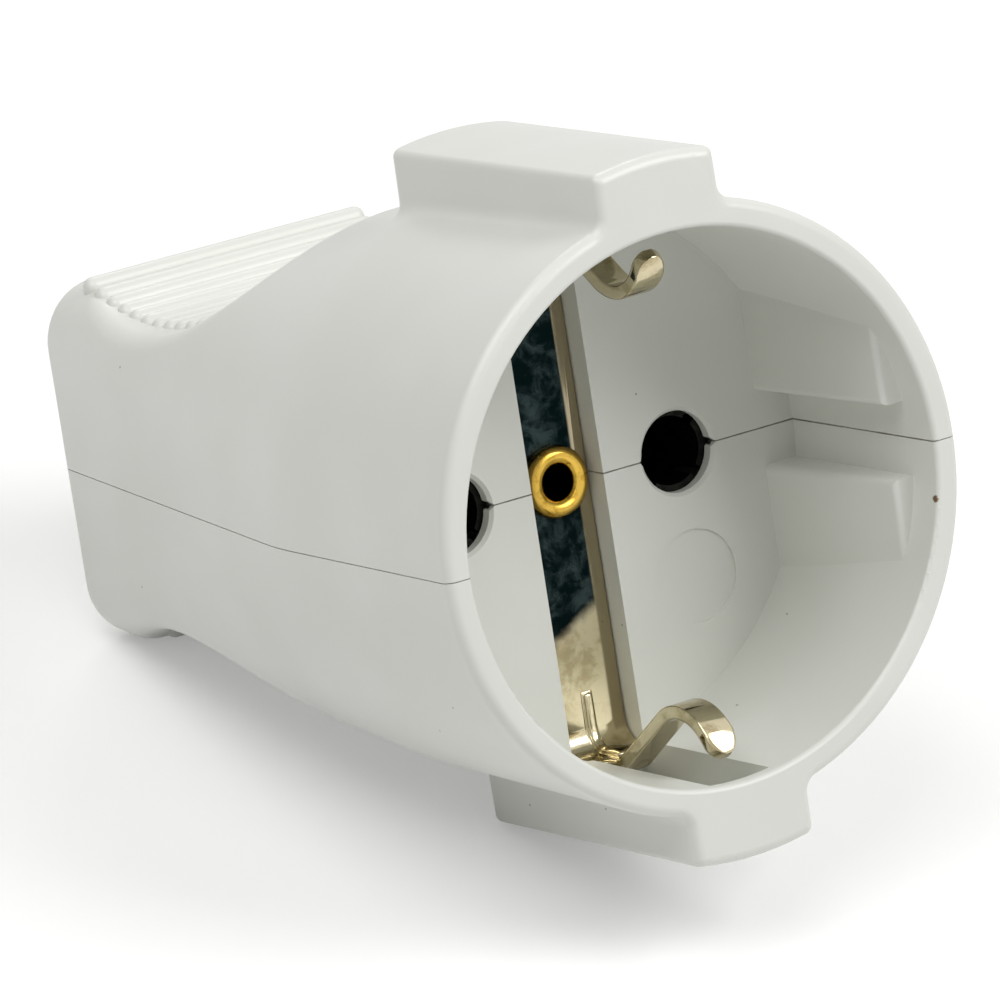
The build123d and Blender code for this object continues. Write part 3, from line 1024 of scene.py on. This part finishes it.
@dataclass(frozen=True)
class Studio:
    """Floor, world, lamps and camera, lengths in metres and angles in degrees.

    The lens and the sensor alone are in millimetres, as the camera takes them.
    """

    aim: Point = (0.000045, -0.003685, 0.021584)
    azimuth: float = -34.826
    elevation: float = 26.880
    roll: float = 1.264
    distance: float = 0.71155
    lens: float = 360.0
    sensor: float = 36.0
    nearest: float = 0.01
    farthest: float = 50.0
    floor_size: float = 8.0
    floor_colour: Colour = (0.86, 0.86, 0.86)
    floor_glow: float = 0.28
    ambient: float = 0.14
    ambient_colour: Colour = (1.0, 1.0, 0.91)
    lamps: tuple[Softbox, ...] = (
        Softbox("front_softbox", azimuth=40.0, elevation=45.0, distance=0.9, size=0.5, watts=4.2),
        Softbox("upper_left_softbox", azimuth=-60.0, elevation=65.0, distance=0.8, size=0.5, watts=1.9),
        Softbox("side_softbox", azimuth=-110.0, elevation=62.0, distance=0.7, size=0.45, watts=0.9),
        Softbox("low_fill", azimuth=-80.0, elevation=8.0, distance=1.0, size=0.6, watts=0.35),
        Softbox("rear_softbox", azimuth=170.0, elevation=45.0, distance=0.8, size=0.4, watts=0.6),
        Softbox("rear_strip", azimuth=150.0, elevation=34.0, distance=0.8, size=0.14, watts=0.35),
    )

    def turn_to_part(
        self, thing: bpy.types.Object, azimuth: float, elevation: float, distance: float
    ) -> None:
        """Place a lamp or the camera round the part and turn it to face the part.

        Args:
            thing: The lamp or the camera.
            azimuth: Degrees round the part, 0 in front of the mouth.
            elevation: Degrees above the floor.
            distance: Metres from the point that the camera aims at.
        """
        turn = math.radians(azimuth)
        rise = math.radians(elevation)
        flat = math.cos(rise)
        towards = Vector((math.sin(turn) * flat, -math.cos(turn) * flat, math.sin(rise)))
        thing.location = Vector(self.aim) + distance * towards
        thing.rotation_mode = "QUATERNION"
        thing.rotation_quaternion = (-towards).to_track_quat("-Z", "Y")

    def floor(self) -> None:
        """Lay a plain pale floor that keeps the object's shadow."""
        shape = bmesh.new()
        bmesh.ops.create_grid(shape, x_segments=1, y_segments=1, size=self.floor_size / 2)
        mesh = bpy.data.meshes.new("studio_floor")
        shape.to_mesh(mesh)
        shape.free()
        sheet = add_object("studio_floor", mesh)
        paint = bpy.data.materials.new("pale_floor")
        paint.use_nodes = True
        paint.node_tree.nodes.clear()
        graph = Graph(paint.node_tree)
        matt = graph.node("ShaderNodeBsdfDiffuse", {"Color": (*self.floor_colour, 1.0)})
        glow = graph.node("ShaderNodeEmission", {"Strength": self.floor_glow})
        lit = graph.node("ShaderNodeAddShader")
        graph.join(matt.outputs["BSDF"], lit.inputs[0])
        graph.join(glow.outputs["Emission"], lit.inputs[1])
        out = graph.node("ShaderNodeOutputMaterial")
        mixed = graph.background_mix(matt.outputs["BSDF"], lit.outputs["Shader"])
        graph.join(mixed, out.inputs["Surface"])
        mesh.materials.append(paint)

    def world(self) -> None:
        """Light the scene evenly, with a white background for the camera and for reflections."""
        world = bpy.data.worlds.new("studio_world")
        bpy.context.scene.world = world
        world.use_nodes = True
        world.node_tree.nodes.clear()
        graph = Graph(world.node_tree)
        soft = {"Color": (*self.ambient_colour, 1.0), "Strength": self.ambient}
        plain = graph.node("ShaderNodeBackground", soft)
        white = graph.node("ShaderNodeBackground", {"Color": (1.0, 1.0, 1.0, 1.0), "Strength": 1.0})
        out = graph.node("ShaderNodeOutputWorld")
        mixed = graph.background_mix(plain.outputs["Background"], white.outputs["Background"])
        graph.join(mixed, out.inputs["Surface"])

    def lamp(self, box: Softbox) -> None:
        """Hang one softbox, facing the object and unseen by the camera.

        Args:
            box: Place, size and power of the lamp.
        """
        light = bpy.data.lights.new(box.name, "AREA")
        light.shape = "SQUARE"
        light.size = box.size
        light.energy = box.watts
        lamp = add_object(box.name, light)
        lamp.visible_camera = False
        self.turn_to_part(lamp, box.azimuth, box.elevation, box.distance)

    def camera(self) -> None:
        """Set the camera at the photograph's viewing angle."""
        data = bpy.data.cameras.new("photo_camera")
        data.lens = self.lens
        data.sensor_width = self.sensor
        data.clip_start = self.nearest
        data.clip_end = self.farthest
        eye = add_object("photo_camera", data)
        self.turn_to_part(eye, self.azimuth, self.elevation, self.distance)
        roll = Quaternion((0.0, 0.0, 1.0), math.radians(self.roll))
        eye.rotation_quaternion = eye.rotation_quaternion @ roll
        bpy.context.scene.camera = eye

    def build(self) -> None:
        """Set up the whole studio."""
        self.floor()
        self.world()
        for box in self.lamps:
            self.lamp(box)
        self.camera()
        bpy.context.scene.view_settings.view_transform = "Standard"
        LOG.info("studio with %d lamps", len(self.lamps))


def main() -> None:
    """Load the frame, dress every node and set up the studio."""
    logging.basicConfig(level=logging.INFO, format="%(name)s %(message)s")
    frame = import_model()
    nodes = frame["nodes"]
    axes = SocketAxes.from_record(frame["record"], PIN_MOUNT_DEPTH)
    groups = SurfaceGroups()
    plastic = MouldedPlastic(groups, axes, PlasticTones())
    plate = PlateWithTarnishAndPaintedReflection(groups, axes, PlateTones())
    eyelet = GiltEyelet(groups, axes, GILT)
    # Brass painted near black: painted shade for the sleeves in the pin holes.
    brass = PlainMetal(groups, BRASS_PAINTED_SHADE)
    blued = PlainMetal(groups, BLUED_STEEL)
    steel = PlainMetal(groups, ZINC_STEEL)
    Housing(nodes).build(plastic, steel)
    EarthPath(nodes).build(axes, plate, eyelet, brass, steel)
    LineContacts(nodes).build(brass, blued, steel)
    Studio().build()
    bpy.context.view_layer.update()


if __name__ == "__main__":
    main()
